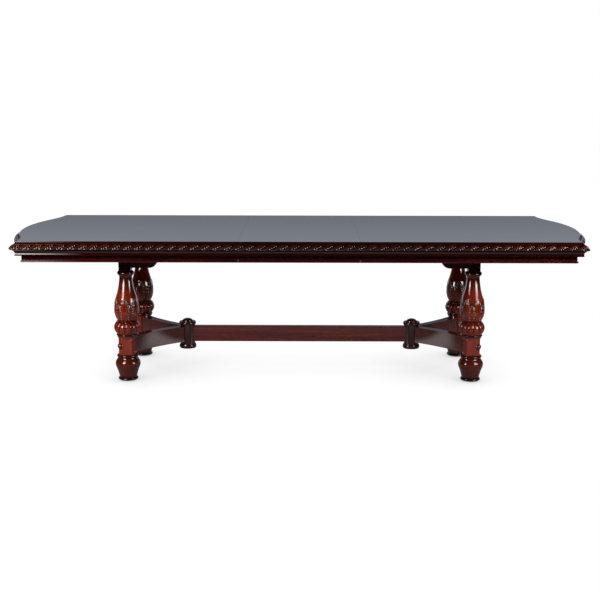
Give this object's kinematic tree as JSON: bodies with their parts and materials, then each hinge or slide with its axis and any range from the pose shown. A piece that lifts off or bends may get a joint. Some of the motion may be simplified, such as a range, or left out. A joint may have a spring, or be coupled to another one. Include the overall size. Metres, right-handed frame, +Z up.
{
  "type": "pedestal dining table",
  "caption": "Extending pedestal dining table: turned and carved legs on curved arms, straight stretcher, serpentine ends, rope-carved edge, lift-out leaf and geared slides.",
  "frame": {"origin": "on the floor, under the middle of the table", "axes": "+X along the table to the right as seen from the front, -Y to the front, +Z up"},
  "size_m": [3.0608, 1.219, 0.787],
  "materials": {
    "polished_top": "high-gloss lacquer on dark mahogany veneer",
    "moulded_wood": "gloss lacquer on dark mahogany, glaze in the carving",
    "turned_wood": "gloss lacquer on red-brown mahogany",
    "plain_wood": "bare secondary hardwood",
    "steel": "zinc plated",
    "gear_brass": "machined",
    "gear_nylon": "plain moulded",
    "glide_plastic": "plain"
  },
  "bodies": {
    "base": {"arm_back_left": "turned_wood", "arm_back_right": "turned_wood", "arm_front_left": "turned_wood", "arm_front_right": "turned_wood", "barrel_nuts": "steel", "cross_rail_left": "turned_wood", "cross_rail_right": "turned_wood", "foot_glides": "glide_plastic", "gear_axle": "steel", "gear_bridge": "plain_wood", "hub_dowels": "plain_wood", "hub_left": "turned_wood", "hub_right": "turned_wood", "leg_back_left": "turned_wood", "leg_back_right": "turned_wood", "leg_bolt_caps": "turned_wood", "leg_bolts": "steel", "leg_front_left": "turned_wood", "leg_front_right": "turned_wood", "rail_back": "turned_wood", "rail_front": "turned_wood", "stretcher": "turned_wood"},
    "left_half": {"apron_back_left": "moulded_wood", "apron_end_left": "moulded_wood", "apron_front_left": "moulded_wood", "corner_blocks_left": "plain_wood", "edge_back_left": "moulded_wood", "edge_end_left": "moulded_wood", "edge_front_left": "moulded_wood", "gear_rack_left": "gear_nylon", "rope_back_left": "moulded_wood", "rope_end_left": "moulded_wood", "rope_front_left": "moulded_wood", "runner_screws_left": "steel", "slide_runners_left": "plain_wood", "top_left": "polished_top"},
    "right_half": {"apron_back_right": "moulded_wood", "apron_end_right": "moulded_wood", "apron_front_right": "moulded_wood", "corner_blocks_right": "plain_wood", "edge_back_right": "moulded_wood", "edge_end_right": "moulded_wood", "edge_front_right": "moulded_wood", "gear_rack_right": "gear_nylon", "rope_back_right": "moulded_wood", "rope_end_right": "moulded_wood", "rope_front_right": "moulded_wood", "runner_screws_right": "steel", "slide_runners_right": "plain_wood", "top_right": "polished_top"},
    "leaf": {"apron_back_leaf": "moulded_wood", "apron_front_leaf": "moulded_wood", "edge_back_leaf": "moulded_wood", "edge_front_leaf": "moulded_wood", "leaf_cleats": "plain_wood", "leaf_panel": "polished_top", "rope_back_leaf": "moulded_wood", "rope_front_leaf": "moulded_wood"},
    "pinion": {"gear_pinion": "gear_brass"}
  },
  "joints": [
    {"name": "left_slide", "type": "slide", "parent": "base", "child": "left_half", "axis": [-1, 0, 0], "range_m": [0, 0.075]},
    {"name": "right_slide", "type": "slide", "parent": "base", "child": "right_half", "axis": [1, 0, 0], "range_m": [0, 0.075]},
    {"name": "pinion_turn", "type": "hinge", "parent": "base", "child": "pinion", "pos_m": [0, 0, 0.728], "axis": [0, 0, 1], "range_deg": [-159.2, 0]},
    {"name": "leaf_lift", "type": "slide", "parent": "base", "child": "leaf", "axis": [0, 0, 1], "range_m": [0, 0.15]}
  ],
  "couplings": [
    {"joint": "right_slide", "follows": "left_slide", "ratio": 1},
    {"joint": "pinion_turn", "follows": "left_slide", "rad_per_m": -37.037}
  ]
}
